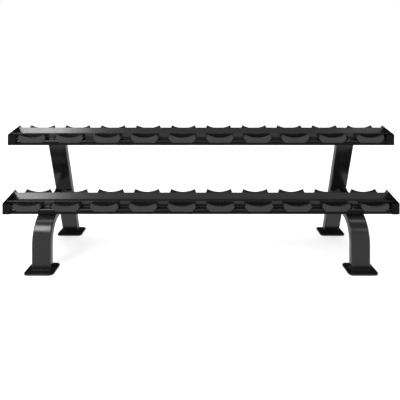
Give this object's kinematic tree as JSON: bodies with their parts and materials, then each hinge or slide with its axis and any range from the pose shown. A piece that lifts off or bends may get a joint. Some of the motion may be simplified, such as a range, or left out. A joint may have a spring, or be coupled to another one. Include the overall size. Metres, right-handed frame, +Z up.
{
  "type": "dumbbell rack",
  "caption": "Two-tier dumbbell rack with sloping shelves of moulded saddles on bent tube side frames with bolted foot plates.",
  "frame": {"origin": "on the floor under the middle of the rack, midway between the front and rear feet", "axes": "+X along the rack, to the right as seen from the front; +Y to the back; +Z up"},
  "size_m": [2.44, 0.731, 0.8272],
  "materials": {
    "painted_steel": "gloss black powder coat",
    "saddle_plastic": "satin charcoal moulded polyurethane",
    "bolt_steel": "black oxide steel"
  },
  "bodies": {
    "root": {"front_leg_left": "painted_steel", "rear_post_left": "painted_steel", "front_foot_plate_left": "painted_steel", "rear_foot_plate_left": "painted_steel", "front_leg_right": "painted_steel", "rear_post_right": "painted_steel", "front_foot_plate_right": "painted_steel", "rear_foot_plate_right": "painted_steel", "lower_mount_plate_left": "painted_steel", "lower_cross_tie_left": "painted_steel", "lower_end_plate_left": "painted_steel", "lower_corner_bracket_left": "painted_steel", "lower_mount_plate_right": "painted_steel", "lower_cross_tie_right": "painted_steel", "lower_end_plate_right": "painted_steel", "lower_corner_bracket_right": "painted_steel", "lower_front_rail": "painted_steel", "lower_rear_rail": "painted_steel", "lower_pan": "painted_steel", "lower_saddle_pair_01": "saddle_plastic", "lower_saddle_pair_02": "saddle_plastic", "lower_saddle_pair_03": "saddle_plastic", "lower_saddle_pair_04": "saddle_plastic", "lower_saddle_pair_05": "saddle_plastic", "lower_saddle_pair_06": "saddle_plastic", "lower_saddle_pair_07": "saddle_plastic", "lower_saddle_pair_08": "saddle_plastic", "lower_saddle_pair_09": "saddle_plastic", "lower_saddle_pair_10": "saddle_plastic", "lower_saddle_bolts": "bolt_steel", "lower_saddle_nuts": "bolt_steel", "lower_tier_bolts": "bolt_steel", "upper_mount_plate_left": "painted_steel", "upper_cross_tie_left": "painted_steel", "upper_end_plate_left": "painted_steel", "upper_corner_bracket_left": "painted_steel", "upper_mount_plate_right": "painted_steel", "upper_cross_tie_right": "painted_steel", "upper_end_plate_right": "painted_steel", "upper_corner_bracket_right": "painted_steel", "upper_front_rail": "painted_steel", "upper_rear_rail": "painted_steel", "upper_pan": "painted_steel", "upper_saddle_pair_01": "saddle_plastic", "upper_saddle_pair_02": "saddle_plastic", "upper_saddle_pair_03": "saddle_plastic", "upper_saddle_pair_04": "saddle_plastic", "upper_saddle_pair_05": "saddle_plastic", "upper_saddle_pair_06": "saddle_plastic", "upper_saddle_pair_07": "saddle_plastic", "upper_saddle_pair_08": "saddle_plastic", "upper_saddle_pair_09": "saddle_plastic", "upper_saddle_pair_10": "saddle_plastic", "upper_saddle_bolts": "bolt_steel", "upper_saddle_nuts": "bolt_steel", "upper_tier_bolts": "bolt_steel"}
  },
  "joints": []
}
